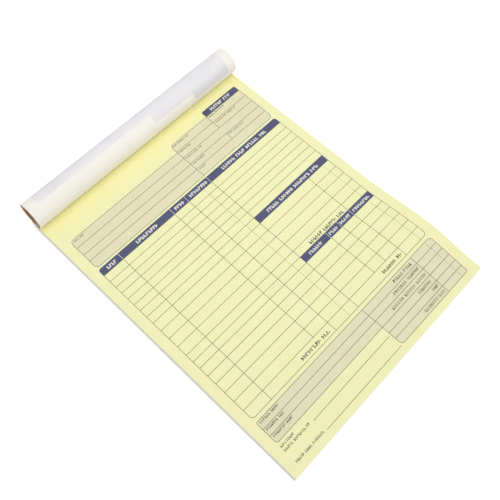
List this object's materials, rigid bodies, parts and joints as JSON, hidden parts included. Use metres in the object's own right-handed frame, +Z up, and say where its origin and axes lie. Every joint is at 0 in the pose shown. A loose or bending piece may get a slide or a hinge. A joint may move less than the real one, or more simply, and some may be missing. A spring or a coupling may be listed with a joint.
{
  "type": "duplicate invoice book",
  "caption": "Top-bound carbonless duplicate form book, its first white form and cover rolled up on the binding above the canary copy.",
  "frame": {"origin": "on the table under the middle of the whole book", "axes": "+X across the page to the reader's right, +Y up the page to the binding, +Z up from the table"},
  "size_m": [0.216, 0.288, 0.0346],
  "materials": {
    "white_paper": "matte",
    "canary_paper": "matte",
    "gathered_paper": "matte",
    "kraft_card": "matte",
    "chipboard": "matte",
    "binding_tape": "satin",
    "wire": "satin"
  },
  "bodies": {
    "pad": {"back_board": "chipboard", "sets_49_50": "gathered_paper", "sets_47_48": "gathered_paper", "sets_45_46": "gathered_paper", "sets_43_44": "gathered_paper", "sets_41_42": "gathered_paper", "sets_39_40": "gathered_paper", "sets_37_38": "gathered_paper", "sets_35_36": "gathered_paper", "sets_33_34": "gathered_paper", "sets_31_32": "gathered_paper", "sets_29_30": "gathered_paper", "sets_27_28": "gathered_paper", "sets_25_26": "gathered_paper", "sets_23_24": "gathered_paper", "sets_21_22": "gathered_paper", "sets_19_20": "gathered_paper", "sets_17_18": "gathered_paper", "sets_15_16": "gathered_paper", "sets_13_14": "gathered_paper", "sets_11_12": "gathered_paper", "sets_09_10": "gathered_paper", "sets_07_08": "gathered_paper", "sets_05_06": "gathered_paper", "sets_03_04": "gathered_paper", "set_02_canary": "canary_paper", "set_02_white": "white_paper", "set_01_canary_stub": "canary_paper", "set_01_white_stub": "white_paper", "cover_stub": "kraft_card", "binding_tape": "binding_tape", "staple_1": "wire", "staple_2": "wire", "staple_3": "wire"},
    "canary_leaf": {"set_01_canary_leaf": "canary_paper"},
    "rolled_set": {"set_01_white_roll": "white_paper", "cover_roll": "kraft_card"}
  },
  "joints": [
    {"name": "canary_leaf_hinge", "type": "hinge", "parent": "pad", "child": "canary_leaf", "pos_m": [0, 0.12568, 0.01006], "axis": [-1, 0, 0], "range_deg": [0, 22]},
    {"name": "rolled_set_hinge", "type": "hinge", "parent": "pad", "child": "rolled_set", "pos_m": [0, 0.12568, 0.01026], "axis": [1, 0, 0], "range_deg": [0, 35]}
  ]
}
